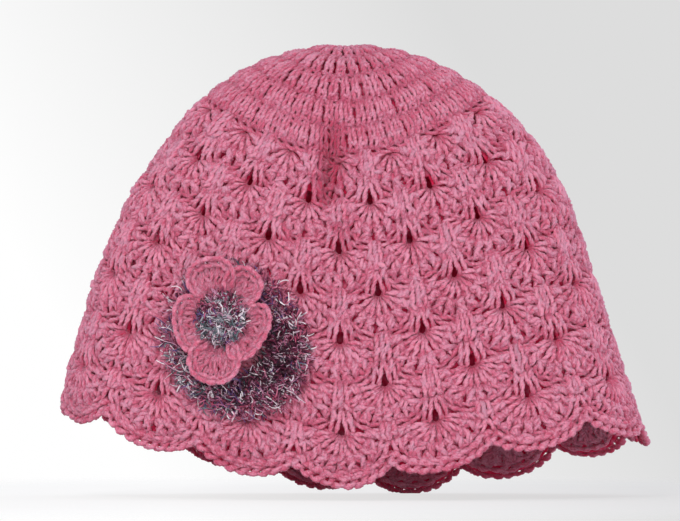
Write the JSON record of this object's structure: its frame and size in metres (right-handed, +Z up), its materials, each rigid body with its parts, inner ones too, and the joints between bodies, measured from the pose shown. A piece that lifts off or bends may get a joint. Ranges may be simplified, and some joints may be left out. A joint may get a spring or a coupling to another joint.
{
  "type": "crocheted hat",
  "caption": "Soft crocheted cloche hat of shell stitch with a scalloped brim and a fur-trimmed crocheted flower sewn on one side.",
  "frame": {"origin": "middle of the head opening, on the plane that the brim stands on", "axes": "+Z up through the crown, -Y to the front of the hat, +X to the wearer's left"},
  "size_m": [0.2393, 0.1353, 0.1831],
  "materials": {
    "hat_yarn": "two-ply heathered pink yarn, soft and matt with a light fuzz",
    "flower_yarn": "the same pink yarn, worked tighter into thick rolled borders",
    "eyelash_yarn": "novelty yarn with fine glossy lashes in plum, grey-teal, silver and white",
    "sewing_yarn": "single ply of the pink yarn, drawn tight"
  },
  "bodies": {
    "root": {"crown_start_ring": "hat_yarn", "crown_round_1": "hat_yarn", "crown_round_2": "hat_yarn", "crown_round_3": "hat_yarn", "crown_round_4": "hat_yarn", "crown_round_5": "hat_yarn", "shell_round_1": "hat_yarn", "shell_round_2": "hat_yarn", "shell_round_3": "hat_yarn", "shell_round_4": "hat_yarn", "shell_round_5": "hat_yarn", "shell_round_6": "hat_yarn", "shell_round_7": "hat_yarn", "scallop_edging": "hat_yarn", "flower_fur_ruffle": "eyelash_yarn", "flower_backing": "flower_yarn", "flower_petal_1": "flower_yarn", "flower_petal_2": "flower_yarn", "flower_petal_3": "flower_yarn", "flower_petal_4": "flower_yarn", "flower_petal_5": "flower_yarn", "flower_centre_ring": "flower_yarn", "flower_fur_tuft": "eyelash_yarn", "flower_sewing_tacks": "sewing_yarn"}
  },
  "joints": []
}
